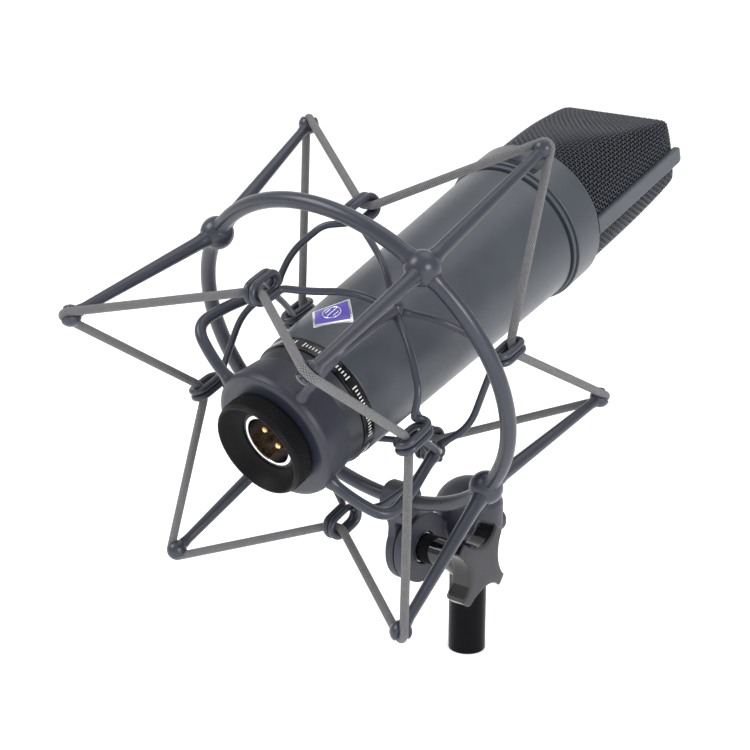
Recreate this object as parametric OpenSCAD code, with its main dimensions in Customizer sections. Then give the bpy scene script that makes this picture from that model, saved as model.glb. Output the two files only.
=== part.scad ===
// Side-address condenser microphone in an elastic suspension with a tilting stand head.
// Millimetres. Z is up, the hinge lies along X, and the microphone head points to +Y.
// The origin is the centre of the threaded mouth at the lower end of the stand tube.

/* [Stand tube] */
// Length of the stand tube below the barrel
tube_len = 32; // [30:1:60]
// Outer diameter of the stand tube
tube_d = 13.7; // [13.2:0.1:14]

/* [Stand head] */
// Outer diameter of the stand socket barrel
barrel_d = 24.6; // [24:0.1:25]
// Height of the stand socket barrel with its dome
barrel_h = 35; // [34:0.5:37]
// Radius of the stand thread's crests
thread_r = 4.1; // [4:0.1:4.5]
// Height of the hinge above the barrel's lower end
hinge_h = 15; // [14:0.5:16]
// Distance of the hinge in front of the socket's axis
hinge_y = 24; // [24:0.2:26]
// Diameter of the hinge discs
hinge_d = 25.6; // [24.6:0.2:25.8]
// Diameter of the hinge bolt
bolt_d = 8; // [7.6:0.1:8]

/* [Clamp knob] */
// Radius to the tips of the knob's lobes
knob_r = 15; // [14:0.5:16]
// Thickness of the knob's star
knob_t = 9.5; // [8:0.5:10]

/* [Outer frame] */
// Elevation of the ring's axis above the horizontal
tilt = 23.8; // [20:0.2:28]
// Sideways place of the ring's centre
ring_x = -7; // [-7.2:0.1:-6.8]
// Distance from the hinge to the ring's centre
ring_drop = 82; // [81.5:0.5:84]
// Radius of the ring at the centre of its wire
ring_r = 60.4; // [60:0.1:60.6]
// Diameter of the ring's wire
ring_wire = 5.2; // [4.8:0.1:5.4]
// Diameter of the four ring balls
ball_d = 11.2; // [10.4:0.2:11.6]
// Radius at which the rod tips stand
tip_r = 69.5; // [69:0.25:70.5]
// Distance of the front tips from the ring's plane
tip_front = 59.4; // [59:0.2:60]
// Distance of the rear tips from the ring's plane
tip_rear = 59.8; // [59:0.2:60.4]
// Diameter of the tip balls
tip_d = 7; // [6.6:0.1:7]

/* [Elastic cords] */
// Diameter of the elastic cord
cord_d = 2.8; // [2.6:0.1:3.2]

/* [Inner cage] */
// Diameter of the hook wire
wire_d = 2.3; // [2.2:0.05:2.35]
// Diameter of the cage arms
arm_d = 3.8; // [3.4:0.1:4]
// Radius at which the four weld beads sit
bead_r = 38.2; // [38:0.1:38.6]
// Sag of the suspended parts across the ring's axis
sag = 2.1; // [1.5:0.1:2.4]
// Droop of the microphone head below the ring's axis
droop = 3.2; // [2.6:0.1:3.4]

/* [Microphone] */
// Diameter of the head collar
collar_d = 56; // [55.6:0.1:56.2]
// Body radius where the body leaves its lower band
body_r0 = 22.7; // [22.6:0.05:22.9]
// Body radius under the head collar
body_r1 = 26.4; // [26:0.1:26.6]
// Height of the top of the head above the ring's plane
head_top = 165; // [163:0.5:167]
// Turn of the body in its cup about the microphone's axis
body_spin = 4.5; // [0:0.5:6]

/* [Hidden] */
$fn = 64;
sides = 8;
hinge_z = tube_len + hinge_h;
barrel_r = barrel_d / 2;
tube_r = tube_d / 2;
tube_bore = tube_r - 1.25;
socket_h = 15;
hinge_r = hinge_d / 2;
bolt_r = bolt_d / 2;
tip_ball = tip_d / 2;
cord_r = cord_d / 2;
wire_r = wire_d / 2;
arm_r = arm_d / 2;
ball_r = ball_d / 2;
collar_r = collar_d / 2;
cage_x = 1.7;
cage_yaw = 1.1;
cage_twist = -2.2;
hook_half = 6.2;
hook_w = 3.1;
front_hook_r = 45;
front_hook_z = -26.4;
rear_hook_r = 46;
rear_hook_z = 21.4;
bead_z = -1.5;
seat_z = -34;
cup_top = -30;
cup_face = -42;
band_z = -23.5;
body_z0 = -19;
body_z1 = 87.6;
lip_z = 88.6;
collar_z = 90.4;
mesh_z = 104;
mesh_r = 26.6;
shoulder = 9;
wedge = 0.27;
crest = 12.2;
bar_w = 6.4;
bar_top = 161.5;
capsule_z = 132;
capsule_r = 14.4;
film_r = 12.6;
rail_x = 16;
screw_r = 1.25;
bead_ball = 2.7;
flute_r = 11.5;
flute_at = knob_r + 4.5;
hub_r = 5.2;
bushing_r = 7.5;
shell_r = 9.6;
shell_bore = 8.1;
pin_r = 1.2;
pin_at = 3.7;
pin_end = -40.8;
lug_x0 = -9.5;
lug_x1 = -6;
disc_x0 = -5.7;
disc_x1 = -1.2;
sleeve_r = 6.4;
knob_x = 16;
badge_w = 12.9;
badge_h = 11.1;
badge_z = -5;
board_y = 2;
wrap_r = 2.2;

// Vector helpers
function unit(v) = v / norm(v);
function body_r(z) = body_r0 + (body_r1 - body_r0) * (z - body_z0) / (body_z1 - body_z0);
function pol(r, az, z) = [r * cos(az), -r * sin(az), z];
function turn_x(p, a) = [p[0], p[1] * cos(a) - p[2] * sin(a), p[1] * sin(a) + p[2] * cos(a)];
function turn_y(p, a) = [p[0] * cos(a) + p[2] * sin(a), p[1], -p[0] * sin(a) + p[2] * cos(a)];
function turn_z(p, a) = [p[0] * cos(a) - p[1] * sin(a), p[0] * sin(a) + p[1] * cos(a), p[2]];
function hang(p) = turn_z(turn_y(turn_x(p, -droop), cage_yaw), cage_twist) + [cage_x, sag, 0];

// A corner of a path rounded as a short quadratic curve that starts at distance d from it
function toward(a, b, d) = a + unit(b - a) * min(d, norm(b - a) * 0.45);
function corner(a, b, c, d, n) = let(p = toward(b, a, d), q = toward(b, c, d))
  [for (i = [0:n]) let(t = i / n) p * (1 - t) * (1 - t) + b * 2 * t * (1 - t) + q * t * t];
function rounded(pts, d, n) = let(m = len(pts) - 1)
  concat([pts[0]], [for (i = [1:m - 1]) each corner(pts[i - 1], pts[i], pts[i + 1], d, n)], [pts[m]]);

// Frames carried along a path without twist, then a tube around the path
function side_of(t) = unit(cross(t, abs(t[2]) < 0.8 ? [0, 0, 1] : [1, 0, 0]));
function before(n, i, closed) = closed ? (i + n - 1) % n : max(i - 1, 0);
function after(n, i, closed) = closed ? (i + 1) % n : min(i + 1, n - 1);
function tangent(p, i, closed) = unit(p[after(len(p), i, closed)] - p[before(len(p), i, closed)]);
function carry(u, t) = unit(u - t * (u * t));
function frames(p, closed) = [for (i = 0, u = side_of(tangent(p, 0, closed)); i < len(p);
  i = i + 1, u = i < len(p) ? carry(u, tangent(p, i, closed)) : u) u];
module tube(p, r, closed) {
  n = len(p);
  u = frames(p, closed);
  t0 = tangent(p, 0, closed);
  last = carry(u[n - 1], t0);
  slip = closed ? round(atan2(cross(u[0], last) * t0, u[0] * last) * sides / 360) : 0;
  pts = [for (i = [0:n - 1]) let(t = tangent(p, i, closed), v = cross(t, u[i])) for (k = [0:sides - 1])
    p[i] + u[i] * r * cos(k * 360 / sides) + v * r * sin(k * 360 / sides)];
  walls = [for (i = [0:closed ? n - 1 : n - 2]) for (k = [0:sides - 1])
    let(k1 = (k + 1) % sides, j = (i + 1) % n, s = i == n - 1 ? sides * 4 - slip : 0,
      a = i * sides + k, b = i * sides + k1,
      c = j * sides + (k1 + s) % sides, d = j * sides + (k + s) % sides)
    each [[a, b, c], [a, c, d]]];
  ends = closed ? [] : [[for (k = [0:sides - 1]) sides - 1 - k],
    [for (k = [0:sides - 1]) (n - 1) * sides + k]];
  faces = [for (f = concat(walls, ends)) [for (k = [len(f) - 1:-1:0]) f[k]]];
  polyhedron(points = pts, faces = faces, convexity = 10);
}

module in_ring() {
  translate([ring_x, -hinge_y - ring_drop * sin(tilt), hinge_z + ring_drop * cos(tilt)])
    rotate([tilt - 90, 0, 0]) children();
}
module in_cage() {
  in_ring() translate([cage_x, sag, 0]) rotate([-droop, cage_yaw, cage_twist]) children();
}
module in_body() {
  in_cage() rotate(body_spin) children();
}
module at_hinge(x) {
  translate([x, -hinge_y, hinge_z]) rotate([0, 90, 0]) children();
}
module pipe(r1, r0, h) {
  difference() {
    cylinder(r = r1, h = h);
    translate([0, 0, -1]) cylinder(r = r0, h = h + 2);
  }
}

// Stand tube: a short tube with a threaded socket below and a threaded stud above
module stand_tube() {
  color([0.05, 0.05, 0.06]) pipe(tube_r, tube_bore, tube_len);
}
module tube_socket() {
  color([0.72, 0.58, 0.32]) pipe(tube_bore, thread_r, socket_h);
}
module tube_stud() {
  color([0.5, 0.5, 0.52]) {
    translate([0, 0, tube_len - 12]) cylinder(r = tube_bore, h = 12);
    translate([0, 0, tube_len]) cylinder(r = thread_r, h = 13);
  }
}

// Stand head: a barrel for the stud with the fixed hinge disc on a web
module stand_head() {
  color([0.27, 0.28, 0.31]) difference() {
    union() {
      translate([0, 0, tube_len]) intersection() {
        cylinder(r = barrel_r, h = barrel_h);
        translate([0, 0, barrel_h - 13]) sphere(r = 13);
      }
      at_hinge(disc_x0) cylinder(r = hinge_r, h = disc_x1 - disc_x0);
      translate([disc_x0, -hinge_y, hinge_z - 9]) cube([disc_x1 - disc_x0, hinge_y - 8, 14]);
      at_boss() cylinder(r = 4.8, h = 8.5);
    }
    translate([0, 0, tube_len - 1]) cylinder(r = bushing_r, h = 21);
    at_hinge(disc_x1 - 2.2) cylinder(r = 5.8, h = 5);
    at_hinge(disc_x0 - 1) cylinder(r = bolt_r + 0.06, h = 8);
    translate([0, -1, 0]) at_boss() cylinder(r = 2.5, h = 10);
  }
}
module at_boss() {
  translate([0, 9, tube_len + 14]) rotate([-90, 0, 0]) children();
}
module thread_bushing() {
  color([0.72, 0.58, 0.32]) translate([0, 0, tube_len]) difference() {
    cylinder(r = bushing_r, h = 18);
    translate([0, 0, -1]) cylinder(r = thread_r, h = 16);
  }
}
module grub_screw() {
  color([0.2, 0.2, 0.2]) translate([0, -0.8, 0]) at_boss() difference() {
    cylinder(r = 2.5, h = 8.4);
    translate([0, 0, 5.9]) cylinder(r = 1.3, h = 3, $fn = 6);
  }
}

// Ring bracket: the moving hinge disc, its neck and the block that holds the ring's wire
module ring_lug() {
  color([0.27, 0.28, 0.31]) difference() {
    union() {
      at_hinge(lug_x0) cylinder(r = hinge_r, h = lug_x1 - lug_x0);
      lug_block(lug_x0, lug_x1, [[-9, 8], [-6.4, 13], [-5.6, 16], [5.6, 16], [6.4, 13], [9, 8]]);
      lug_block(lug_x0 - 0.8, disc_x1 + 0.2, concat([[-5.6, 14.8]], sleeve_arc(), [[5.6, 14.8]]));
    }
    in_ring() ring_solid();
    at_hinge(lug_x0 - 1) cylinder(r = bolt_r, h = 8);
  }
}
function sleeve_arc() = [for (a = [210:-20:-30])
  [sleeve_r * cos(a), ring_drop - ring_r - 0.2 + sleeve_r * sin(a)]];
module lug_block(x0, x1, outline) {
  translate([x0, -hinge_y, hinge_z]) rotate([tilt, 0, 0]) rotate([90, 0, 90])
    linear_extrude(x1 - x0) polygon(outline);
}
module hinge_bolt() {
  color([0.6, 0.6, 0.62]) {
    at_hinge(lug_x0) cylinder(r = bolt_r, h = knob_x + 5.5 - lug_x0);
    at_hinge(lug_x0 - 1.8) cylinder(r = 6.4, h = 1.8);
  }
}
module clamp_washer() {
  color([0.65, 0.65, 0.66]) at_hinge(disc_x1 - 1.9) pipe(5.4, bolt_r + 0.08, 1);
}
module knob_hub() {
  color([0.1, 0.1, 0.11]) at_hinge(disc_x1 - 0.9) pipe(hub_r, bolt_r + 0.06, knob_x - disc_x1 + 3.9);
}
module star_knob() {
  color([0.2, 0.2, 0.22]) at_hinge(knob_x) difference() {
    cylinder(r = knob_r, h = knob_t);
    for (k = [0:3]) rotate(7 + k * 90) translate([flute_at, 0, -1]) cylinder(r = flute_r, h = knob_t + 2);
    translate([0, 0, -1]) cylinder(r = hub_r, h = 4);
    translate([0, 0, -1]) cylinder(r = bolt_r + 0.06, h = 7.5);
  }
}

// Outer frame
module ring_solid() {
  rotate_extrude($fn = 96) translate([ring_r, 0]) rotate(180) circle(d = ring_wire, $fn = 32);
}
module outer_ring() {
  color([0.33, 0.35, 0.4]) in_ring() {
    ring_solid();
    for (a = [45:90:315]) translate(pol(ring_r, a, 0)) sphere(r = ball_r);
  }
}
module rod(z) {
  a = pol(ring_r, 0, 0);
  b = pol(tip_r, 0, z);
  lean = atan2(tip_r - ring_r, abs(z));
  difference() {
    union() {
      translate(a) mirror([0, 0, z < 0 ? 1 : 0]) rotate([0, lean, 0])
        cylinder(r1 = 2.5, r2 = 1.55, h = norm(b - a));
      translate(b) sphere(r = tip_ball);
    }
    translate(a) sphere(r = ball_r);
  }
}
module front_rods() {
  color([0.33, 0.35, 0.4]) in_ring() for (k = [0:3]) difference() {
    rotate(-45 - k * 90) rod(-tip_front);
    groove(k, -tip_front, front_pass(k), front_pass(k + 1));
  }
}
module rear_rods() {
  color([0.33, 0.35, 0.4]) in_ring() for (k = [0:3]) difference() {
    rotate(-45 - k * 90) rod(tip_rear);
    groove(k, tip_rear, rear_pass(k), rear_pass(k + 1));
  }
}

// Elastic cords: each runs from tip to tip through the eyes of the hooks
function eye(k, r, z, s) = hang(pol(norm([r, 2.4]), k * 90 + s * atan2(2.4, r), z));
function front_pass(k) = [for (s = [-1, 1]) eye(k, front_hook_r, front_hook_z - 3.05, s)];
function rear_pass(k) = [for (s = [-1, 1]) eye(k, rear_hook_r, rear_hook_z + 3.05, s)];
function wrap_frame(c, p, q) = let(t = unit(q - p), b = carry(unit(c - (p + q) / 2), t)) [t, b, cross(t, b)];
function touch(c, f, p, s) = let(x = (p - c) * f[0], y = (p - c) * f[1])
  atan2(y, x) - s * acos(wrap_r / norm([x, y]));
function wrap(c, p, q) = let(f = wrap_frame(c, p, q), a0 = touch(c, f, p, 1), a1 = touch(c, f, q, -1),
  a = a0 < 0 ? a0 + 360 : a0)
  [for (i = [0:8]) let(g = a + (a1 - a) * i / 8) c + (f[0] * cos(g) + f[1] * sin(g)) * wrap_r];
function leg(a, b) = [a + (b - a) * 0.06, a + (b - a) * 0.5, a + (b - a) * 0.94];
function bend(a, b, c) = corner(a, b, c, 1.6, 3);
function cord_path(z, ps) = [for (k = [0:3])
  let(c = pol(tip_r, 45 + k * 90, z), d = pol(tip_r, 135 + k * 90, z), p = ps[k], q = ps[k + 1],
    w = wrap(c, p[1], q[0]), v = wrap(d, q[1], ps[k + 2][0]))
  each concat(w, leg(w[8], q[0]), bend(w[8], q[0], q[1]), bend(q[0], q[1], v[0]), leg(q[1], v[0]))];
function all_pass(front) = [for (k = [0:5]) front ? front_pass(k) : rear_pass(k)];
module groove(k, z, p, q) {
  c = pol(tip_r, 45 + k * 90, z);
  f = wrap_frame(c, p[1], q[0]);
  m = [for (i = [0:2]) [f[0][i], f[1][i], f[2][i], c[i]]];
  multmatrix(m) rotate_extrude($fn = 48) translate([wrap_r, 0]) circle(r = cord_r + 0.1, $fn = 24);
}
module front_elastic() {
  color([0.6, 0.6, 0.58]) in_ring() tube(cord_path(-tip_front, all_pass(true)), cord_r, true);
}
module rear_elastic() {
  color([0.6, 0.6, 0.58]) in_ring() tube(cord_path(tip_rear, all_pass(false)), cord_r, true);
}

// Inner cage: each hook wire runs from bead to bead through a double coil
function track(a) = let(s = hook_half - hook_w, shift = sin(a) > 0.01 ? -s : sin(a) < -0.01 ? s : 0)
  [hook_w * -cos(a), -hook_w * sin(a) + shift];
function coil(r, z, up) = [for (a = [-30:30:690])
  let(g = track(a), w = (a / 360 - 0.92) * (wire_d + 0.16)) [w, r + g[0], z + g[1] * up]];
function lead(s, r, z, up) = let(b = bead_r * cos(45), rise = z + up * hook_half - bead_z) [
  [s * (b - 1.6), b + 0.5, bead_z - up * 1.2],
  [s * b * 0.74, r * 0.81, bead_z + rise * 0.42],
  [s * b * 0.36, r * (s < 0 ? 0.88 : 0.96), bead_z + rise * 0.84]];
function hook_path(r, z, up) = let(c = coil(r, z, up), a = lead(-1, r, z, up), b = lead(1, r, z, up))
  concat([a[0]], corner(a[0], a[1], a[2], 6, 4), corner(a[1], a[2], c[0], 4, 3), c,
    corner(c[len(c) - 1], b[2], b[1], 3, 3), corner(b[2], b[1], b[0], 6, 4), [b[0]]);
module front_hook_wires() {
  color([0.33, 0.35, 0.4]) in_cage() for (k = [0:3]) rotate(-90 - k * 90)
    tube(hook_path(front_hook_r, front_hook_z, 1), wire_r, false);
}
module rear_hook_wires() {
  color([0.33, 0.35, 0.4]) in_cage() for (k = [0:3]) rotate(-90 - k * 90)
    tube(hook_path(rear_hook_r, rear_hook_z, -1), wire_r, false);
}
module weld_beads() {
  color([0.33, 0.35, 0.4]) in_cage() for (a = [45:90:315])
    translate(pol(bead_r, a, bead_z)) sphere(r = bead_ball);
}
module cage_arms() {
  corners = [[19.6, 0, -38.57], [31, 0, -37.2], [43.2, 0, -33], [42, 0, -20], [39.8, 0, -11],
    [bead_r, 0, bead_z - 1]];
  path = rounded(corners, 7, 6);
  color([0.33, 0.35, 0.4]) in_cage() for (a = [45:90:315]) rotate(a) tube(path, arm_r, false);
}
module base_cup() {
  color([0.3, 0.31, 0.36]) in_cage() difference() {
    rotate_extrude($fn = 96) polygon([[12.7, cup_face], [20.6, cup_face], [22, cup_face + 0.7],
      [22.6, cup_face + 2.2], [22.5, cup_face + 4.5], [21.4, cup_top + 1], [20.9, cup_top], [19.4, cup_top],
      [19.4, seat_z], [12.7, seat_z]]);
    for (a = [45:90:315]) rotate(a) translate([19.5, 0, -38.58]) rotate([0, 83.16, 0])
      cylinder(r = arm_r, h = 8);
  }
}
module lock_ring() {
  color([0.07, 0.07, 0.08]) in_cage() rotate_extrude($fn = 96)
    polygon([[12.58, cup_face - 0.3], [16.8, cup_face - 0.3], [16.8, cup_face - 6.6], [16, cup_face - 7.6],
    [15.4, cup_face - 7.6], [13.6, cup_face - 5], [11.6, cup_face - 3], [10.2, cup_face - 2.4],
    [10.2, cup_face - 2.1], [12.58, cup_face - 2.1]]);
}

// Microphone body
module bell_housing() {
  color([0.24, 0.25, 0.28]) in_cage() rotate_extrude($fn = 96)
    polygon([[shell_r, -43.8], [12.5, -43.8], [12.5, seat_z], [19.2, seat_z], [19.2, cup_top + 0.2],
    [20.6, cup_top + 0.2], [21.7, band_z], [19.8, band_z], [19.8, -21], [17.5, -21], [17.5, -29],
    [shell_r, -29]]);
}
module id_band() {
  color([0.05, 0.05, 0.06]) in_cage() translate([0, 0, band_z]) pipe(22.3, 19.8, body_z0 - band_z);
}
module body_tube() {
  color([0.33, 0.35, 0.37]) in_body() difference() {
    rotate_extrude($fn = 128) polygon([[20.4, body_z0], [body_r0 - 0.3, body_z0], [body_r0, body_z0 + 0.4],
      [body_r1, body_z1 - 0.5], [body_r1 - 0.4, body_z1], [24, body_z1]]);
    body_patch(-0.4, 1, badge_w, badge_h);
  }
}
module lip_ring() {
  color([0.31, 0.33, 0.36]) in_cage() rotate_extrude($fn = 128)
    polygon([[23.2, body_z1], [25.2, body_z1], [25.2, lip_z], [26.8, lip_z], [27.2, lip_z + 0.4],
    [27.2, collar_z - 0.4], [26.8, collar_z], [23.2, collar_z]]);
}
module head_collar() {
  color([0.33, 0.35, 0.37]) in_body() difference() {
    rotate_extrude($fn = 128) polygon([[22, collar_z], [collar_r - 0.5, collar_z], [collar_r, collar_z + 0.6],
      [collar_r, mesh_z - 0.3], [collar_r - 0.3, mesh_z], [0, mesh_z],
      [0, mesh_z - 3], [24.6, mesh_z - 3], [24.6, collar_z + 5], [22, collar_z + 5]]);
    window(12.6, 4);
    collar_patch(collar_r - 0.6, collar_r + 1);
  }
}
module window(w, d) {
  intersection() {
    translate([0, 0, collar_z + 0.9]) pipe(collar_r + 2, collar_r - d, 2.6);
    translate([-w, -collar_r - 3, collar_z]) cube([2 * w, 20, 6]);
  }
}
module pattern_slider() {
  color([0.03, 0.03, 0.03]) in_body() intersection() {
    translate([0, 0, collar_z + 1.2]) pipe(collar_r - 0.9, collar_r - 3.6, 2);
    translate([-3, -collar_r - 3, collar_z]) cube([6, 20, 6]);
  }
}
module badge_prism(z, w, h) {
  translate([0, 0, z]) rotate([0, 45, 0]) translate([-w / 2, -collar_r - 3, -h / 2]) cube([w, 20, h]);
}
module body_patch(d0, d1, w, h) {
  intersection() {
    rotate_extrude($fn = 96)
      polygon([[body_r(-16) + d0, -16], [body_r(-16) + d1, -16], [body_r(6) + d1, 6], [body_r(6) + d0, 6]]);
    badge_prism(badge_z, w, h);
  }
}
module body_badge() {
  color([0.8, 0.8, 0.83]) in_body() difference() {
    body_patch(-0.4, 0.5, badge_w, badge_h);
    body_patch(0.1, 1, badge_w - 1.4, badge_h - 1.4);
  }
}
module badge_field() {
  color([0.32, 0.25, 0.8]) in_body() body_patch(0.1, 0.4, badge_w - 1.4, badge_h - 1.4);
}
module collar_patch(r0, r1) {
  intersection() {
    translate([0, 0, mesh_z - 10]) pipe(r1, r0, 9);
    badge_prism(98.4, 5, 4.3);
  }
}
module collar_badge() {
  color([0.25, 0.2, 0.5]) in_body() collar_patch(collar_r - 0.6, collar_r + 0.5);
}

// Head
module wedge_block(inset, z0) {
  top = head_top - inset;
  c = crest - inset * 0.95;
  y0 = crest + (head_top - z0) * wedge - inset * 1.03;
  w = mesh_r - inset;
  intersection() {
    translate([0, 0, z0]) cylinder(r = w, h = top - z0, $fn = 128);
    rotate([90, 0, 0]) translate([0, 0, -40]) linear_extrude(80) union() {
      translate([-w, z0]) square([2 * w, top - z0 - shoulder]);
      translate([-w + shoulder, z0]) square([2 * (w - shoulder), top - z0]);
      for (s = [-1, 1]) translate([s * (w - shoulder), top - shoulder]) circle(r = shoulder, $fn = 48);
    }
    rotate([90, 0, 90]) translate([0, 0, -40]) linear_extrude(80)
      polygon([[-y0, z0], [y0, z0], [c + 0.7, top - 3], [c - 0.8, top - 1], [c - 3, top], [-c + 3, top],
      [-c + 0.8, top - 1], [-c - 0.7, top - 3]]);
  }
}
module side_bars(r0, r1, z0) {
  for (s = [-1, 1]) intersection() {
    translate([0, 0, z0]) pipe(r1, r0, bar_top - z0);
    translate([s > 0 ? 15 : -45, -bar_w / 2, z0 - 1]) cube([30, bar_w, bar_top - z0 + 2]);
  }
}
module head_frame() {
  color([0.33, 0.35, 0.37]) in_body() {
    side_bars(25.4, 28.2, mesh_z);
    translate([0, 0, mesh_z]) pipe(26.9, 25.4, 2);
    translate([-25.8, -2.6, bar_top - 2.3]) cube([51.6, 5.2, 2]);
  }
}
module outer_grille() {
  color([0.1, 0.1, 0.1]) in_body() difference() {
    wedge_block(0, mesh_z + 2);
    translate([0, 0, -0.1]) wedge_block(1, mesh_z + 2);
    side_bars(23, 30, mesh_z);
  }
}
module inner_mesh() {
  color([0.2, 0.2, 0.2]) in_body() difference() {
    wedge_block(6.4, mesh_z);
    translate([0, 0, -0.1]) wedge_block(7, mesh_z);
  }
}
module capsule_at() {
  translate([0, 0, capsule_z]) rotate([90, 0, 0]) children();
}
module capsule_backplates() {
  color([0.75, 0.62, 0.35]) in_body() capsule_at() difference() {
    translate([0, 0, -3.6]) cylinder(r = capsule_r, h = 7.2);
    for (a = [0:60:300]) rotate(a) translate([8, 0, -3.7]) cylinder(r = 0.8, h = 2.5);
  }
}
module capsule_rings() {
  color([0.7, 0.58, 0.3]) in_body() capsule_at() for (z = [-4.5, 3.6])
    translate([0, 0, z]) pipe(capsule_r, film_r, 0.9);
}
module capsule_diaphragms() {
  color([0.85, 0.72, 0.4]) in_body() capsule_at() for (z = [-3.8, 3.6])
    translate([0, 0, z]) cylinder(r = film_r, h = 0.2);
}
module capsule_saddle() {
  color([0.15, 0.15, 0.16]) in_body() difference() {
    union() {
      translate([-8, -4, mesh_z]) cube([16, 8, 4]);
      translate([-4, -3, mesh_z + 3]) cube([8, 6, 14]);
    }
    capsule_at() translate([0, 0, -10]) cylinder(r = capsule_r, h = 20);
  }
}

// Electronics inside the body
module chassis_rails() {
  color([0.6, 0.6, 0.62]) in_body() for (s = [-1, 1]) difference() {
    translate([s * rail_x - 2.5, -board_y, -17]) cube([5, 2 * board_y, 101]);
    for (z = [-18, 79]) translate([s * rail_x, 0, z]) cylinder(r = screw_r, h = 6);
  }
}
module chassis_decks() {
  color([0.62, 0.62, 0.64]) in_body() for (z = [-19, 84]) difference() {
    translate([0, 0, z]) cylinder(r = z < 0 ? 20.4 : 23.8, h = 2);
    for (s = [-1, 1]) translate([s * rail_x, 0, z - 1]) cylinder(r = screw_r, h = 4);
    translate([0, 8, z - 1]) cylinder(r = 3, h = 4);
  }
}
module chassis_screws() {
  color([0.7, 0.7, 0.7]) in_body() for (s = [-1, 1]) {
    translate([s * rail_x, 0, -20.6]) cylinder(r = 2.2, h = 1.6);
    translate([s * rail_x, 0, -19]) cylinder(r = screw_r, h = 7);
    translate([s * rail_x, 0, 86]) cylinder(r = 2.2, h = 1.5);
    translate([s * rail_x, 0, 79]) cylinder(r = screw_r, h = 7);
  }
}
module circuit_board() {
  color([0.1, 0.3, 0.15]) in_body() translate([-15, board_y, 20]) cube([30, 1.6, 62]);
}
module board_parts() {
  color([0.15, 0.15, 0.2]) in_body() {
    for (z = [30, 44, 58]) translate([0, board_y + 1.6, z]) rotate([-90, 0, 0]) cylinder(r = 4, h = 9);
    for (z = [26, 36, 46, 56, 66]) translate([-9, board_y - 2.6, z]) cube([7, 2.6, 3]);
    translate([3, board_y - 4, 70]) cube([7, 4, 6]);
  }
}
module output_transformer() {
  color([0.35, 0.33, 0.3]) in_body() translate([-11, -9, -17]) cube([22, 18, 24]);
}
module connector_shell() {
  color([0.85, 0.85, 0.86]) in_cage() {
    translate([0, 0, -44.2]) difference() {
      pipe(shell_r, shell_bore, 15.7);
      rotate(-20) translate([7.6, -1.5, -1]) cube([1.1, 3, 9]);
    }
  }
}
module connector_insert() {
  color([0.1, 0.06, 0.04]) in_cage() translate([0, 0, -31.6]) difference() {
    cylinder(r = shell_bore, h = 3.4);
    for (p = pin_spots()) translate(p) cylinder(r = pin_r, h = 5);
  }
}
function pin_spots() = [for (a = [34, 154, 274]) pol(pin_at, a, -1)];
module contact_pins() {
  color([0.85, 0.65, 0.3]) in_cage() for (p = pin_spots()) translate([p[0], p[1], 0]) {
    translate([0, 0, pin_end]) cylinder(r = pin_r, h = -27 - pin_end);
    translate([0, 0, pin_end]) sphere(r = pin_r);
  }
}

stand_tube();
tube_socket();
tube_stud();
stand_head();
thread_bushing();
grub_screw();
ring_lug();
outer_ring();
front_rods();
rear_rods();
hinge_bolt();
clamp_washer();
knob_hub();
star_knob();
front_elastic();
rear_elastic();
front_hook_wires();
rear_hook_wires();
weld_beads();
cage_arms();
base_cup();
lock_ring();
bell_housing();
id_band();
body_tube();
lip_ring();
head_collar();
pattern_slider();
body_badge();
badge_field();
collar_badge();
head_frame();
outer_grille();
inner_mesh();
capsule_backplates();
capsule_rings();
capsule_diaphragms();
capsule_saddle();
chassis_rails();
chassis_decks();
circuit_board();
board_parts();
output_transformer();
chassis_screws();
connector_shell();
connector_insert();
contact_pins();
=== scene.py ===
"""Looks of a side-address condenser microphone in its elastic suspension.

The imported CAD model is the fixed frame. Lengths below are millimetres in one of four frames: the
row frame, the ring frame (axis along the outer ring), the cage frame (axis along the microphone)
and the body frame (the cage frame, turned a little about that axis). Every mesh is turned into
metres in the row frame when it is made.
"""

import math

import bmesh
import bpy
import numpy as np
from mathutils import Matrix, Vector


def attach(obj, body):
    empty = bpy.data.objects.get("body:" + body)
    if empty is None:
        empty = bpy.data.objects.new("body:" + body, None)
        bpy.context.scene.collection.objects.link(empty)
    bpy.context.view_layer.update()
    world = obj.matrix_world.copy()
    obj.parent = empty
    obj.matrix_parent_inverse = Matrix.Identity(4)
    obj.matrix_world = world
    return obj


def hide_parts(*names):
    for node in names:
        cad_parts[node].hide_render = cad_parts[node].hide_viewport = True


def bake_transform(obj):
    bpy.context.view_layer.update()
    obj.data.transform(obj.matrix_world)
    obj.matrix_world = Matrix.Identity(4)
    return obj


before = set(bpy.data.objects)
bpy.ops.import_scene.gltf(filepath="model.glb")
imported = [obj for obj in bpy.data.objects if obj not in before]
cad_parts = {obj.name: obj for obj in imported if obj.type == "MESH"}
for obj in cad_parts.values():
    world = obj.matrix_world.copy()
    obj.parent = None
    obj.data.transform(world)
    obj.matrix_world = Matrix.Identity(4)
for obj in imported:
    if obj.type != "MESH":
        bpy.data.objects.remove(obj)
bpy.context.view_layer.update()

MM = 0.001
TAU = 2 * math.pi

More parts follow.
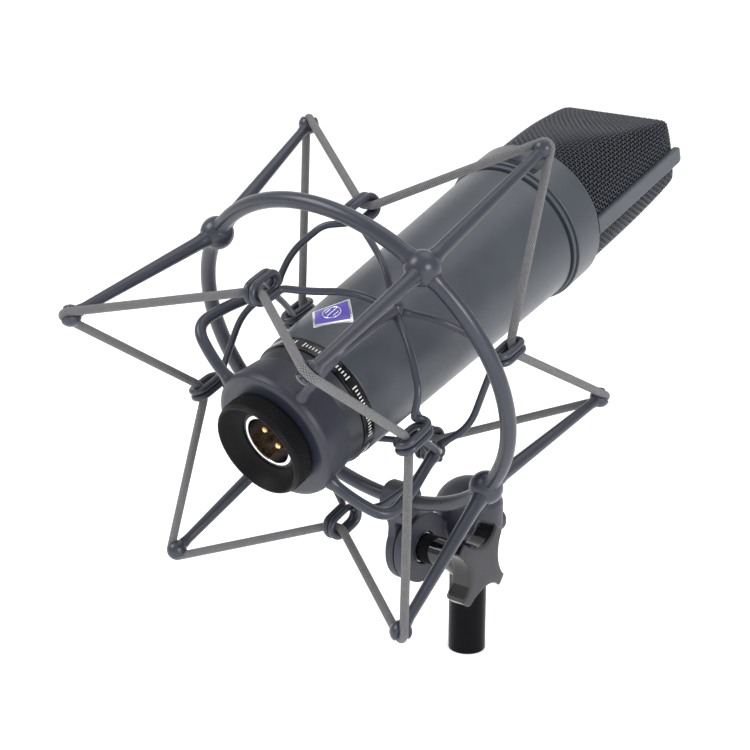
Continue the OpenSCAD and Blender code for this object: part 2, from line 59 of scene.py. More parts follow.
# Driving dimensions, the same as in the part's source
TUBE_LEN = 32
HINGE_Y = 24
HINGE_Z = TUBE_LEN + 15
TILT = math.radians(23.8)
RING_X = -7
RING_DROP = 82
RING_R = 60.4
RING_WIRE = 2.6
BALL_R = 5.6
TIP_R = 69.5
TIP_FRONT = 59.4
TIP_REAR = 59.8
TIP_BALL = 3.5
CORD_R = 1.4
WRAP_R = 2.2
WIRE_R = 1.15
ROD_FOOT = 2.5
ROD_TIP = 1.6
EYE_GAP = 2.4
EYE_RISE = 3.05
ARM_R = 1.9
BEAD_R = 38.2
BEAD_Z = -1.5
BEAD_BALL = 2.7
CAGE_X = 1.7
SAG = 2.1
DROOP = math.radians(3.2)
YAW = math.radians(1.1)
TWIST = math.radians(-2.2)
HOOK_HALF = 6.2
HOOK_W = 3.1
FRONT_HOOK = (45, -26.4)
REAR_HOOK = (46, 21.4)
KNOB_X = 16
KNOB_R = 15
KNOB_T = 9.5
FLUTE_R = 11.5
FLUTE_AT = KNOB_R + 4.5
LUG_X0 = -9.5
COLLAR_R = 28
BODY_Z0 = -19
BODY_Z1 = 87.6
BODY_R0 = 22.7
BODY_R1 = 26.4
MESH_Z = 104
HEAD_TOP = 165
HEAD_R = 26.6
CREST = 12.2
WEDGE = 0.27
SHOULDER = 9
BAR_HALF = 3.2
BAR_TOP = 161.5
BADGE_Z = -5
BODY_SPIN = math.radians(4.5)
PIN_AT = 3.7
PIN_TURNS = (34, 154, 274)
PIN_END = -40.8
PIN_R = 1.2
CORNERS = (45, 135, 225, 315)
WIRE_SIDES = 5
VIEW_TURN = math.radians(39.87)
VIEW_DROP = math.radians(16.23)

ROW = Matrix.Identity(4)
RING_CENTRE = Vector((RING_X, -HINGE_Y - RING_DROP * math.sin(TILT), HINGE_Z + RING_DROP * math.cos(TILT)))
RING = Matrix.Translation(RING_CENTRE) @ Matrix.Rotation(TILT - math.pi / 2, 4, "X")
HANG = (
    Matrix.Translation((CAGE_X, SAG, 0))
    @ Matrix.Rotation(TWIST, 4, "Z")
    @ Matrix.Rotation(YAW, 4, "Y")
    @ Matrix.Rotation(-DROOP, 4, "X")
)
CAGE = RING @ HANG
BODY = CAGE @ Matrix.Rotation(BODY_SPIN, 4, "Z")
HINGE = Matrix.Translation((0, -HINGE_Y, HINGE_Z)) @ Matrix.Rotation(math.pi / 2, 4, "Y")


def pol(r, az, z):
    """A ring-frame or cage-frame point at azimuth az, where 90 degrees is up."""
    return Vector((r * math.cos(math.radians(az)), -r * math.sin(math.radians(az)), z))


# ---- node helpers


class Nodes:
    """A material's node tree with short ways to add and link nodes."""

    def __init__(self, name):
        self.material = bpy.data.materials.new(name)
        self.material.use_nodes = True
        self.tree = self.material.node_tree
        self.shader = self.tree.nodes["Principled BSDF"]

    def set(self, **values):
        for key, value in values.items():
            self.shader.inputs[key.replace("_", " ")].default_value = value
        return self

    def add(self, kind, **inputs):
        made = self.tree.nodes.new("ShaderNode" + kind)
        for key, value in inputs.items():
            self.feed(made.inputs[key.replace("_", " ")], value)
        return made

    def feed(self, socket, value):
        if isinstance(value, bpy.types.NodeSocket):
            self.tree.links.new(value, socket)
        else:
            socket.default_value = value

    def math(self, operation, a, b=0.0):
        made = self.tree.nodes.new("ShaderNodeMath")
        made.operation = operation
        self.feed(made.inputs[0], a)
        self.feed(made.inputs[1], b)
        return made.outputs[0]

    def noise(self, scale, detail=3.0):
        coords = self.tree.nodes.new("ShaderNodeTexCoord").outputs["Object"]
        made = self.add("TexNoise", Vector=coords, Scale=scale, Detail=detail, Roughness=0.5)
        return made.outputs["Fac"]

    def ramp(self, factor, stops):
        made = self.tree.nodes.new("ShaderNodeValToRGB")
        self.feed(made.inputs[0], factor)
        elements = made.color_ramp.elements
        while len(elements) < len(stops):
            elements.new(0.5)
        for element, (place, colour) in zip(elements, stops):
            element.position = place
            element.color = colour
        return made.outputs["Color"]

    def remap(self, value, low, high):
        made = self.tree.nodes.new("ShaderNodeMapRange")
        self.feed(made.inputs["Value"], value)
        made.inputs["To Min"].default_value = low
        made.inputs["To Max"].default_value = high
        return made.outputs["Result"]

    def bump(self, height, strength, distance):
        made = self.add("Bump", Height=height, Strength=strength, Distance=distance)
        self.tree.links.new(made.outputs["Normal"], self.shader.inputs["Normal"])

    def colour(self, socket):
        self.tree.links.new(socket, self.shader.inputs["Base Color"])

    def rough(self, socket):
        self.tree.links.new(socket, self.shader.inputs["Roughness"])


def rgb(r, g, b):
    return (r, g, b, 1.0)


def shade(colour, gain):
    return rgb(*(min(1.0, c * gain) for c in colour))


def paint(name, colour, rough=0.42, grain=2600, depth=0.00002, coat=0.0, shine=0.5):
    """Satin paint or lacquer on metal: a fine orange peel, soft cloudy tone and uneven gloss."""
    n = Nodes(name).set(Metallic=0.0, IOR=1.5, Coat_Weight=coat, Coat_Roughness=0.25)
    n.set(Specular_IOR_Level=shine)
    cloud = n.noise(60, 4.0)
    n.colour(n.ramp(cloud, [(0.3, shade(colour, 0.9)), (0.7, shade(colour, 1.1))]))
    n.rough(n.remap(n.noise(420, 3.0), rough - 0.07, rough + 0.08))
    n.bump(n.noise(grain, 2.0), 0.35, depth)
    return n.material


def metal(name, colour, rough=0.2):
    """Bare or plated metal with faint tooling marks."""
    n = Nodes(name).set(Metallic=1.0)
    n.colour(n.ramp(n.noise(140, 3.0), [(0.3, shade(colour, 0.92)), (0.7, shade(colour, 1.04))]))
    n.rough(n.remap(n.noise(900, 4.0), max(rough - 0.06, 0.02), rough + 0.06))
    n.bump(n.noise(1800, 2.0), 0.15, 0.00001)
    return n.material


def plastic(name, colour, rough=0.35, depth=0.00002, shine=0.5):
    """Moulded plastic with a fine spark-eroded grain."""
    n = Nodes(name).set(Metallic=0.0, IOR=1.46, Specular_IOR_Level=shine)
    n.colour(n.ramp(n.noise(90, 3.0), [(0.3, shade(colour, 0.88)), (0.7, shade(colour, 1.12))]))
    n.rough(n.remap(n.noise(700, 3.0), max(rough - 0.06, 0.03), rough + 0.06))
    n.bump(n.noise(3000, 3.0), 0.3, depth)
    return n.material


def braid_height(n, pitch):
    """Height of a two-over braid whose yarns cross at 45 degrees, from the UV map in millimetres."""
    uv = n.tree.nodes.new("ShaderNodeUVMap")
    uv.uv_map = "UVMap"
    parts = n.add("SeparateXYZ", Vector=uv.outputs[0])
    along, round_ = parts.outputs[0], parts.outputs[1]
    wave = math.pi / pitch
    a = n.math("ABSOLUTE", n.math("SINE", n.math("MULTIPLY", n.math("ADD", along, round_), wave)))
    b = n.math("ABSOLUTE", n.math("SINE", n.math("MULTIPLY", n.math("SUBTRACT", along, round_), wave)))
    return n.math("POWER", n.math("MULTIPLY", a, b), 0.6)


def woven_cord(name, light, dark, pitch):
    """Braided textile sleeve over rubber: yarn relief, painted shade in the gaps between the yarns and
    slightly uneven dye.
    """
    n = Nodes(name).set(Metallic=0.0, Sheen_Weight=0.2, Sheen_Roughness=0.5, IOR=1.4)
    height = braid_height(n, pitch)
    # Painted shade: the colour darkens from the yarn crowns into the gaps between them, mixed with uneven dye
    # noise.
    gap_shade_and_dye = n.math("ADD", n.math("MULTIPLY", height, 0.75), n.math("MULTIPLY", n.noise(900, 4.0), 0.35))
    n.colour(n.ramp(gap_shade_and_dye, [(0.2, dark), (0.8, light)]))
    n.rough(n.remap(height, 0.9, 0.66))
    n.bump(height, 1.0, 0.0003)
    return n.material


def fine_weave(name, colour, pitch):
    """Very fine wire cloth seen through a coarser one, with painted shade in the gaps between its wires."""
    n = Nodes(name).set(Metallic=0.0, Specular_IOR_Level=0.15)
    uv = n.tree.nodes.new("ShaderNodeUVMap")
    uv.uv_map = "UVMap"
    parts = n.add("SeparateXYZ", Vector=uv.outputs[0])
    wave = math.pi / pitch
    a = n.math("ABSOLUTE", n.math("SINE", n.math("MULTIPLY", parts.outputs[0], wave)))
    b = n.math("ABSOLUTE", n.math("SINE", n.math("MULTIPLY", parts.outputs[1], wave)))
    height = n.math("MULTIPLY", a, b)
    # Painted shade: the colour darkens into the gaps between the wires and is lighter on their crowns.
    n.colour(n.ramp(height, [(0.1, shade(colour, 0.25)), (0.7, shade(colour, 1.3))]))
    n.rough(n.remap(height, 0.75, 0.45))
    n.bump(height, 0.9, 0.00015)
    return n.material


FRAME_PAINT = paint("frame_paint", (0.027, 0.030, 0.045), rough=0.3)
CUP_PAINT = paint("cup_paint", (0.016, 0.018, 0.031), rough=0.4)
CAST_PAINT = paint("stand_casting", (0.026, 0.028, 0.042), rough=0.5, grain=1900, depth=0.00004)
BODY_PAINT = paint("body_paint", (0.046, 0.053, 0.066), rough=0.36, grain=3200, depth=0.000015)
BELL_PAINT = paint("body_dark", (0.016, 0.018, 0.025), rough=0.36)
RING_BLACK = paint("ring_black", (0.003, 0.003, 0.004), rough=0.5, shine=0.15)
BAND_BLACK = paint("band_black", (0.002, 0.002, 0.003), rough=0.2, coat=0.3, shine=0.25)
TUBE_BLACK = paint("tube_black", (0.002, 0.002, 0.004), rough=0.3, coat=0.0, shine=0.1)
BAND_WHITE = paint("band_white", (0.75, 0.75, 0.73), rough=0.5)
WIRE_BLACK = paint("mesh_black", (0.026, 0.030, 0.040), rough=0.34, shine=0.55)
# Near black: the inner cloth's own dark wire together with painted shade for the dark inside of the head that
# shows through it.
LINING_BLACK = fine_weave("mesh_inner", (0.002, 0.002, 0.0025), 0.32)
# The dark colour is the painted shade in the gaps of the braid; the light one is the yarn.
CORD_GREY = woven_cord("elastic_cord", rgb(0.22, 0.22, 0.23), rgb(0.012, 0.012, 0.014), 0.8)
CHROME = metal("shell_chrome", (0.86, 0.86, 0.87), rough=0.1)
STEEL = metal("bolt_steel", (0.5, 0.5, 0.51), rough=0.3)
BLACK_STEEL = metal("screw_steel", (0.08, 0.08, 0.085), rough=0.38)
BRASS = metal("bushing_brass", (0.68, 0.48, 0.22), rough=0.25)
GOLD = metal("pin_gold", (0.92, 0.66, 0.28), rough=0.16)
FILM_GOLD = metal("gold_film", (0.95, 0.75, 0.38), rough=0.12)
CAPSULE_BRASS = metal("capsule_brass", (0.75, 0.56, 0.28), rough=0.28)
SILVER = metal("badge_silver", (0.82, 0.82, 0.86), rough=0.18)
VIOLET = paint("badge_violet", (0.085, 0.055, 0.42), rough=0.22, coat=0.4)
KNOB_MATTE = plastic("knob_plastic", (0.040, 0.040, 0.046), rough=0.5, shine=0.4)
KNOB_GLOSS = plastic("knob_flutes", (0.003, 0.003, 0.004), rough=0.09, depth=0.000005, shine=0.7)
SLIDER_BLACK = plastic("slider_black", (0.008, 0.008, 0.008), rough=0.3)
INSERT_DARK = plastic("insert_dark", (0.035, 0.016, 0.008), rough=0.35)
INNER_PLASTIC = plastic("inner_plastic", (0.05, 0.05, 0.05), rough=0.5)
BOARD_GREEN = plastic("board_green", (0.012, 0.09, 0.04), rough=0.3)
PARTS_DARK = plastic("parts_dark", (0.03, 0.03, 0.06), rough=0.3)
CHASSIS = metal("chassis_metal", (0.6, 0.6, 0.61), rough=0.35)
CORE_STEEL = metal("core_steel", (0.22, 0.21, 0.2), rough=0.45)


# ---- mesh helpers


def show(name, data):
    """A new object in the scene."""
    made = bpy.data.objects.new(name, data)
    bpy.context.scene.collection.objects.link(made)
    return made


def tie(piece, body, replaces=()):
    """Rides a piece on a CAD body, and hides the CAD nodes that it stands in for."""
    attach(piece, body)
    if replaces:
        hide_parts(*replaces)
    return piece


def shape(name, verts, faces, place, material, uv=None, smooth=True):
    """An object from points in millimetres in the frame named by place."""
    mesh = bpy.data.meshes.new(name)
    mesh.from_pydata([tuple(v) for v in verts], [], faces)
    mesh.transform(Matrix.Scale(MM, 4) @ place)
    mesh.update()
    if uv is not None:
        layer = mesh.uv_layers.new(name="UVMap")
        layer.data.foreach_set("uv", np.asarray(uv, float).ravel())
    for m in material:
        mesh.materials.append(m)
    if smooth:
        mesh.shade_smooth()
    return show(name, mesh)


def make(name, verts, faces, place, material, body, slot, replaces=(), uv=None, smooth=True):
    """A mesh piece that rides on a CAD body and may stand in for some of its nodes."""
    materials = material if isinstance(material, list) else [material]
    return tie(shape(name, verts, faces, place, materials, uv, smooth), body, replaces)


def join(parts):
    """One list of points and faces from several."""
    verts, faces = [], []
    for v, f in parts:
        start = len(verts)
        verts += list(v)
        faces += [tuple(i + start for i in face) for face in f]
    return verts, faces


def weighted(piece, angle=None):
    """Shading that keeps flat faces flat beside small rounded edges."""
    if angle:
        piece.data.set_sharp_from_angle(angle=math.radians(angle))
    piece.modifiers.new("flat faces", "WEIGHTED_NORMAL").keep_sharp = True
    return piece


def quads(rows, count, loop=False):
    """Faces of a grid of closed rows of count points. loop joins the last row to the first."""
    faces = []
    for i in range(rows if loop else rows - 1):
        a, b = i * count, (i + 1) % rows * count
        faces += [(a + k, a + (k + 1) % count, b + (k + 1) % count, b + k) for k in range(count)]
    return faces


def bake(piece):
    """Puts a piece's modifiers into its mesh."""
    graph = bpy.context.evaluated_depsgraph_get()
    mesh = bpy.data.meshes.new_from_object(piece.evaluated_get(graph), depsgraph=graph)
    piece.modifiers.clear()
    piece.data = mesh
    return piece


def bend(a, b, c, edge, steps):
    """The corner at b as a short curve that starts edge from it, or less on a short side."""
    a, b, c = Vector(a), Vector(b), Vector(c)
    p = b + (a - b).normalized() * min(edge, (a - b).length * 0.45)
    q = b + (c - b).normalized() * min(edge, (c - b).length * 0.45)
    return [p * (1 - t) ** 2 + b * 2 * t * (1 - t) + q * t * t for t in (k / steps for k in range(steps + 1))]


def soften(points, edge, closed=True, steps=4):
    """The outline with each corner turned into a short curve."""
    result = []
    for i, point in enumerate(points):
        if not closed and i in (0, len(points) - 1):
            result.append(Vector(point))
        else:
            result += bend(points[i - 1], point, points[(i + 1) % len(points)], edge, steps)
    return result


def lathe(outline, segments=160):
    """A closed outline of (radius, height) turned round the Z axis."""
    verts = [
        (p[0] * math.cos(a), p[0] * math.sin(a), p[1])
        for a in (TAU * s / segments for s in range(segments))
        for p in outline
    ]
    return verts, [face[::-1] for face in quads(segments, len(outline), loop=True)]


def spindle(outline, segments=96):
    """An open outline of (radius, height) that starts and ends on the Z axis, turned round it."""
    inner = outline[1:-1]
    n = len(inner)
    verts = [(0, 0, outline[0][1]), (0, 0, outline[-1][1])]
    for s in range(segments):
        a = TAU * s / segments
        verts += [(p[0] * math.cos(a), p[0] * math.sin(a), p[1]) for p in inner]
    faces = []
    for s in range(segments):
        i, j = 2 + s * n, 2 + (s + 1) % segments * n
        faces.append((0, j, i))
        faces += [(i + k, j + k, j + k + 1, i + k + 1) for k in range(n - 1)]
        faces.append((i + n - 1, j + n - 1, 1))
    return verts, faces


def carried_frames(path, closed):
    """Tangents and side vectors along a path without twist. A closed path shares out what is left."""
    p = np.array([tuple(v) for v in path], float)
    if closed:
        t = np.roll(p, -1, 0) - np.roll(p, 1, 0)
    else:
        t = np.gradient(p, axis=0)
    t /= np.linalg.norm(t, axis=1)[:, None]
    helper = np.array([0, 0, 1.0]) if abs(t[0][2]) < 0.8 else np.array([1.0, 0, 0])
    u = np.cross(t[0], helper)
    sides = []
    for tangent in t:
        u = u - tangent * (u @ tangent)
        u /= np.linalg.norm(u)
        sides.append(u)
    sides = np.array(sides)
    if closed:
        last = sides[-1] - t[0] * (sides[-1] @ t[0])
        last /= np.linalg.norm(last)
        turn = math.atan2(np.cross(sides[0], last) @ t[0], sides[0] @ last)
        angle = -turn * np.arange(len(p)) / len(p)
        other = np.cross(t, sides)
        sides = sides * np.cos(angle)[:, None] + other * np.sin(angle)[:, None]
    return p, t, sides


def tube(path, radius, sides=16, closed=False):
    """A round tube along a path. radius is a number, or one for each point. UV is in millimetres."""
    p, t, u = carried_frames(path, closed)
    v = np.cross(t, u)
    n = len(p)
    r = np.broadcast_to(np.asarray(radius, float), (n,))
    angles = TAU * np.arange(sides) / sides
    ring = u[:, None] * np.cos(angles)[None, :, None] + v[:, None] * np.sin(angles)[None, :, None]
    verts = (p[:, None] + ring * r[:, None, None]).reshape(-1, 3).tolist()
    step = np.linalg.norm(np.diff(np.vstack([p, p[:1]]), axis=0), axis=1)
    along = np.concatenate([[0], np.cumsum(step)])
    girth = TAU * float(r.mean())
    if closed:
        along *= round(along[-1] / girth) * girth / along[-1]
    faces, uv = [], []
    for i in range(n if closed else n - 1):
        j = (i + 1) % n
        for k in range(sides):
            m = (k + 1) % sides
            faces.append((i * sides + k, j * sides + k, j * sides + m, i * sides + m)[::-1])
            a0, a1 = along[i], along[i + 1]
            b0, b1 = girth * k / sides, girth * (k + 1) / sides
            uv += [(a0, b1), (a1, b1), (a1, b0), (a0, b0)]
    if not closed:
        faces.append(tuple(range(sides)))
        faces.append(tuple(range((n - 1) * sides, n * sides))[::-1])
        uv += [(0, 0)] * (2 * sides)
    return verts, faces, uv


def globe(centre, radius, segments=40, dent=None):
    """A ball. dent(direction) may shorten the radius where something lies in the ball's side."""
    rings = segments // 2
    verts = []
    for i in range(rings + 1):
        lat = math.pi * (i / rings - 0.5)
        for k in range(segments):
            lon = TAU * k / segments
            d = Vector((math.cos(lat) * math.cos(lon), math.cos(lat) * math.sin(lon), math.sin(lat)))
            r = dent(d) if dent else radius
            verts.append(Vector(centre) + d * r)
    return verts, quads(rings + 1, segments)


def painted_wire(name, parts, place, body, node):
    """A piece of the painted wire frame, with the points that coincide at the poles of balls joined."""
    piece = make(name, *join(parts), place, FRAME_PAINT, body, "frame_paint", [node])
    work = bmesh.new()
    work.from_mesh(piece.data)
    bmesh.ops.remove_doubles(work, verts=work.verts, dist=1e-7)
    bmesh.ops.dissolve_degenerate(work, edges=work.edges, dist=1e-8)
    work.to_mesh(piece.data)
    work.free()
    return piece


def turned(name, outline, edge, material, body, slot, replaces, place=CAGE, segments=192):
    """A turned ring from its closed outline, with softened edges."""
    verts, faces = lathe(soften(outline, edge), segments)
    return weighted(make(name, verts, faces, place, material, body, slot, replaces))


# ---- outer frame


def flare(distance, reach=1.2, gain=0.35):
    """Extra wire radius beside a brazed ball."""
    return gain * math.exp(-((distance / reach) ** 2))


def outer_ring():
    steps = 360
    path, radii = [], []
    for i in range(steps):
        az = 360 * i / steps
        nearest = min(abs((az - ball + 180) % 360 - 180) for ball in CORNERS)
        away = max(math.radians(nearest) * RING_R - BALL_R + 0.6, 0)
        path.append(pol(RING_R, az, 0))
        radii.append(RING_WIRE + flare(away))
    parts = [tube(path, radii, 32, closed=True)[:2]]
    parts += [globe(pol(RING_R, az, 0), BALL_R, 48) for az in CORNERS]
    painted_wire("ring_wire", parts, RING, "frame", "outer_ring")


def cord_dent(centre, path):
    """Radius of a tip ball in each direction, with a seat where the cord crosses it."""
    points = [Vector(p) - Vector(centre) for p in path if (Vector(p) - Vector(centre)).length < 6.5]
    seat = CORD_R + 0.05

    def dent(direction):
        r = TIP_BALL
        for p in points:
            along = p.dot(direction)
            if along <= 0:
                continue
            off2 = p.length_squared - along * along
            if off2 < seat * seat:
                r = min(r, along - math.sqrt(seat * seat - off2))
        return max(r, 0.9)

    return dent


def rods(name, z, cord, node):
    parts = []
    for az in CORNERS:
        a, b = pol(RING_R, az, 0), pol(TIP_R, az, z)
        length = (b - a).length
        steps = 60
        path = [a.lerp(b, i / steps) for i in range(steps + 1)]
        radii = []
        for i in range(steps + 1):
            at = length * i / steps
            r = ROD_FOOT + (ROD_TIP - ROD_FOOT) * i / steps
            r += flare(max(at - BALL_R, 0), 1.5, 0.35) + flare(max(length - at - TIP_BALL, 0), 1.2, 0.3)
            radii.append(min(r, BALL_R - 0.5))
        parts.append(tube(path[:-2], radii[:-2], 28)[:2])
        parts.append(globe(b, TIP_BALL, 56, cord_dent(b, cord)))
    painted_wire(name, parts, RING, "frame", node)


# ---- elastic cords


def eyes(hook, side):
    """For each hook, the two points where the cord goes into and out of its eye, in the ring frame."""
    r, z = hook
    half = math.degrees(math.atan2(EYE_GAP, r))
    reach = math.hypot(r, EYE_GAP)
    return [[HANG @ pol(reach, k * 90 + s * half, z + side * EYE_RISE) for s in (-1, 1)] for k in range(6)]


def wrap(centre, p, q, steps=28):
    """The cord's way round a tip ball, from the leg that comes from p to the leg that goes to q."""
    t = (q - p).normalized()
    b = centre - (p + q) / 2
    b = (b - t * b.dot(t)).normalized()

    def angle(point, sign):
        d = point - centre
        x, y = d.dot(t), d.dot(b)
        return math.degrees(math.atan2(y, x)) - sign * math.degrees(math.acos(WRAP_R / math.hypot(x, y)))

    a0, a1 = angle(p, 1), angle(q, -1)
    a0 += 360 if a0 < 0 else 0
    turns = [math.radians(a0 + (a1 - a0) * i / steps) for i in range(steps + 1)]
    return [centre + (t * math.cos(g) + b * math.sin(g)) * WRAP_R for g in turns]


def leg(a, b, steps=36):
    """Points along a straight stretch, clear of the curves at its ends."""
    return [a.lerp(b, 0.03 + 0.94 * i / steps) for i in range(steps + 1)]


def cord_path(z, hook, side):
    """The closed line of one elastic loop: tip to hook to tip, four times."""
    passes = eyes(hook, side)
    line = []
    for k in range(4):
        c, d = pol(TIP_R, 45 + k * 90, z), pol(TIP_R, 135 + k * 90, z)
        p, q = passes[k], passes[k + 1]
        w = wrap(c, p[1], q[0])
        v = wrap(d, q[1], passes[k + 2][0])
        line += w + leg(w[-1], q[0])[:-1]
        line += bend(w[-1], q[0], q[1], 1.6, 8) + bend(q[0], q[1], v[0], 1.6, 8)
        line += leg(q[1], v[0])[1:]
    return line


def elastic(name, z, hook, side, replaces):
    path = cord_path(z, hook, side)
    verts, faces, uv = tube(path, CORD_R, 24, closed=True)
    piece = shape(name, verts, faces, RING, [CORD_GREY], uv)
    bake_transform(piece)
    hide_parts(*replaces)
    return path


# ---- inner cage


def coil(r, z, up):
    """Two turns of wire round a racetrack, side by side."""
    straight = HOOK_HALF - HOOK_W
    points = []
    for a in range(-30, 691, 10):
        g = math.radians(a + 360)
        level = math.sin(g)
        shift = -straight if level > 0.01 else straight if level < -0.01 else 0
        width = (a / 360 - 0.92) * (2 * WIRE_R + 0.16)
        points.append(Vector((width, r - HOOK_W * math.cos(g), z + (-HOOK_W * level + shift) * up)))
    return points


def lead(s, r, z, up):
    """The bend points from a bead to one end of the coil; s is the side."""
    b = BEAD_R * math.cos(math.radians(45))
    e = z + up * HOOK_HALF
    reach = 0.88 if s < 0 else 0.96
    return [
        Vector((s * (b - 1.6), b + 0.5, BEAD_Z - up * 1.2)),
        Vector((s * b * 0.74, r * 0.81, BEAD_Z + (e - BEAD_Z) * 0.42)),
        Vector((s * b * 0.36, r * reach, BEAD_Z + (e - BEAD_Z) * 0.84)),
    ]


def hook_path(hook, up):
    """The line of one hook wire: bead, coil, bead."""
    r, z = hook
    c, a, b = coil(r, z, up), lead(-1, r, z, up), lead(1, r, z, up)
    line = [a[0]] + bend(a[0], a[1], a[2], 6, 12) + bend(a[1], a[2], c[0], 4, 10)
    line += c + bend(c[-1], b[2], b[1], 3, 10) + bend(b[2], b[1], b[0], 6, 12) + [b[0]]
    return line


def distances(line):
    """How far along a line of points each of them lies."""
    return np.concatenate([[0], np.cumsum(np.linalg.norm(np.diff(line, axis=0), axis=1))])


def respaced(line, count):
    """The line drawn again with count points at even distances."""
    at = distances(line)
    where = np.linspace(0, at[-1], count)
    return np.stack([np.interp(where, at, line[:, k]) for k in range(line.shape[1])], 1)


def even(path, step):
    """The path with its points at even steps along it, smoothed a little."""
    p = np.array([tuple(v) for v in path], float)
    p = p[np.concatenate([[True], np.diff(distances(p)) > 1e-6])]
    line = respaced(p, max(int(distances(p)[-1] / step), 8))
    for _ in range(6):
        line[1:-1] = line[1:-1] * 0.5 + (line[:-2] + line[2:]) * 0.25
    return line


def hook_wires(name, hook, up, node):
    parts = []
    for k in range(4):
        turn = Matrix.Rotation(math.radians(-90 - 90 * k), 3, "Z")
        line = [turn @ Vector(p) for p in even(hook_path(hook, up), 0.5)]
        total = len(line)
        radii = [WIRE_R + flare(min(i, total - 1 - i) * 0.5 - 1.2, 1.6, 0.35) for i in range(total)]
        parts.append(tube(line, radii, 18)[:2])
    painted_wire(name, parts, CAGE, "microphone", node)


def weld_beads():
    parts = [globe(pol(BEAD_R, az, BEAD_Z), BEAD_BALL, 36) for az in CORNERS]
    painted_wire("bead_welds", parts, CAGE, "microphone", "weld_beads")


def cage_arms():
    corners = [(19.6, 0, -38.57), (31, 0, -37.2), (43.2, 0, -33), (42, 0, -20), (39.8, 0, -11)]
    corners.append((BEAD_R, 0, BEAD_Z - 1))
    line = even(soften(corners, 7, closed=False, steps=12), 0.6)
    parts = []
    for az in CORNERS:
        turn = Matrix.Rotation(math.radians(az), 3, "Z")
        path = [turn @ Vector(p) for p in line]
        radii = []
        for p in line:
            wall = max(p[0] - 22.6, 0) if p[2] < -36 else 9
            radii.append(ARM_R + flare(wall, 1.6, 0.5) + flare(p[2] - BEAD_Z + 2.6, 1.8, 0.3))
        parts.append(tube(path, radii, 24)[:2])
    painted_wire("arm_bars", parts, CAGE, "microphone", "cage_arms")


# ---- lower end


def knurled_ring():
    """The lock ring: a diamond-knurled rim and a turned funnel round the connector."""
    around, rows = 96, 7
    fine = 8
    segments = around * fine
    top, bottom = -42.6, -48.7
    outline = [(12.58, -42.3), (16.3, -42.3)]
    band = [(None, top + (bottom - top) * i / (rows * fine)) for i in range(rows * fine + 1)]
    rest = [(16.1, -49.2), (15.8, -49.6), (15.3, -49.6), (14.4, -48.2), (13.6, -47.0), (12.6, -45.9)]
    rest += [(11.6, -45.0), (10.4, -44.45), (10.2, -44.3), (10.2, -44.1), (12.58, -44.1)]
    profile = outline + band + rest
    verts = []
    for s in range(segments):
        a = TAU * s / segments
        for r, z in profile:
            if r is None:
                u, v = s / fine, (top - z) / (top - bottom) * rows
                ridge = abs(((u + v) % 1) - 0.5) + abs(((u - v) % 1) - 0.5)
                end = min(1.0, min(v, rows - v) * 1.2)
                r = 16.3 + 0.5 * end * (1 - min(1.0, ridge * 1.25))
            verts.append((r * math.cos(a), r * math.sin(a), z))
    faces = quads(segments, len(profile), loop=True)
    piece = make("lock_ring_knurled", verts, faces, CAGE, RING_BLACK, "lock", "ring_black", ["lock_ring"])
    piece.data.set_sharp_from_angle(angle=math.radians(38))


def lower_end():
    cup = [(12.7, -42), (20.4, -42), (22, -41.4), (22.6, -39.8), (22.5, -37.5), (21.5, -29.4)]
    cup += [(20.95, -29.4), (20.9, -30), (19.4, -30), (19.4, -34), (12.7, -34)]
    turned("cup_shell", cup, 0.5, CUP_PAINT, "microphone", "cup_paint", ["base_cup"])
    bell = [(9.6, -43.8), (12.5, -43.8), (12.5, -34), (19.2, -34), (19.2, -29.8), (20.6, -29.8)]
    bell += [(21.7, -23.5), (19.8, -23.5), (19.8, -21), (17.5, -21), (17.5, -29), (9.6, -29)]
    turned("bell_shell", bell, 0.25, BELL_PAINT, "microphone", "body_dark", ["bell_housing"])
    band = [(19.8, -23.5), (22.3, -23.5), (22.3, -19), (19.8, -19)]
    turned("band_ring", band, 0.2, BAND_BLACK, "microphone", "band_black", ["id_band"])
    band_marks()
    knurled_ring()


def band_marks():
    """Generic tick marks in short groups round the black band."""
    verts, faces = [], []
    middle, r, wide = -21.25, 22.34, 0.55
    for i in range(52):
        if i % 9 > 6:
            continue
        az = 136 - i * 3.1
        tall = 1.0 if i % 9 in (0, 6) else 0.62
        for da, dz in ((-wide, -tall), (wide, -tall), (wide, tall), (-wide, tall)):
            verts.append(pol(r, az + da, middle + dz))
        faces.append(tuple(range(len(verts) - 4, len(verts)))[::-1])
    make("band_ticks", verts, faces, CAGE, BAND_WHITE, "microphone", "band_black")


def connector():
    shell = [(8.1, -44.2), (9.6, -44.2), (9.6, -28.5), (8.1, -28.5)]
    turned("plug_shell", shell, 0.45, CHROME, "microphone", "shell_chrome", ["connector_shell"])
    face = [(0, -31.5), (6.4, -31.6), (7.6, -31.6), (7.6, -31.9), (8.1, -31.9), (8.1, -28.2), (0, -28.2)]
    parts = [spindle(soften(face, 0.2, closed=False)[::-1], 96)]
    rim = soften([(PIN_R + 0.05, -31.5), (PIN_R + 0.05, -32.3), (2.0, -32.3), (2.3, -31.5)], 0.15)
    turns = [math.radians(a) for a in range(0, 91, 10)]
    tip = [(PIN_R * math.sin(a), PIN_END - PIN_R * math.cos(a)) for a in turns]
    pins = []
    for az in PIN_TURNS:
        centre = pol(PIN_AT, az, 0)
        v, f = lathe(rim, 32)
        parts.append(([Vector(p) + centre for p in v], f))
        v, f = spindle(tip + [(PIN_R, -27), (0, -27)], 32)
        pins.append(([Vector(p) + centre for p in v], [quad[::-1] for quad in f]))
    make("plug_insert", *join(parts), CAGE, INSERT_DARK, "microphone", "insert_dark", ["connector_insert"])
    make("plug_pins", *join(pins), CAGE, GOLD, "microphone", "pin_gold", ["contact_pins"])


# ---- body


def body_radius(z):
    return BODY_R0 + (BODY_R1 - BODY_R0) * (z - BODY_Z0) / (BODY_Z1 - BODY_Z0)


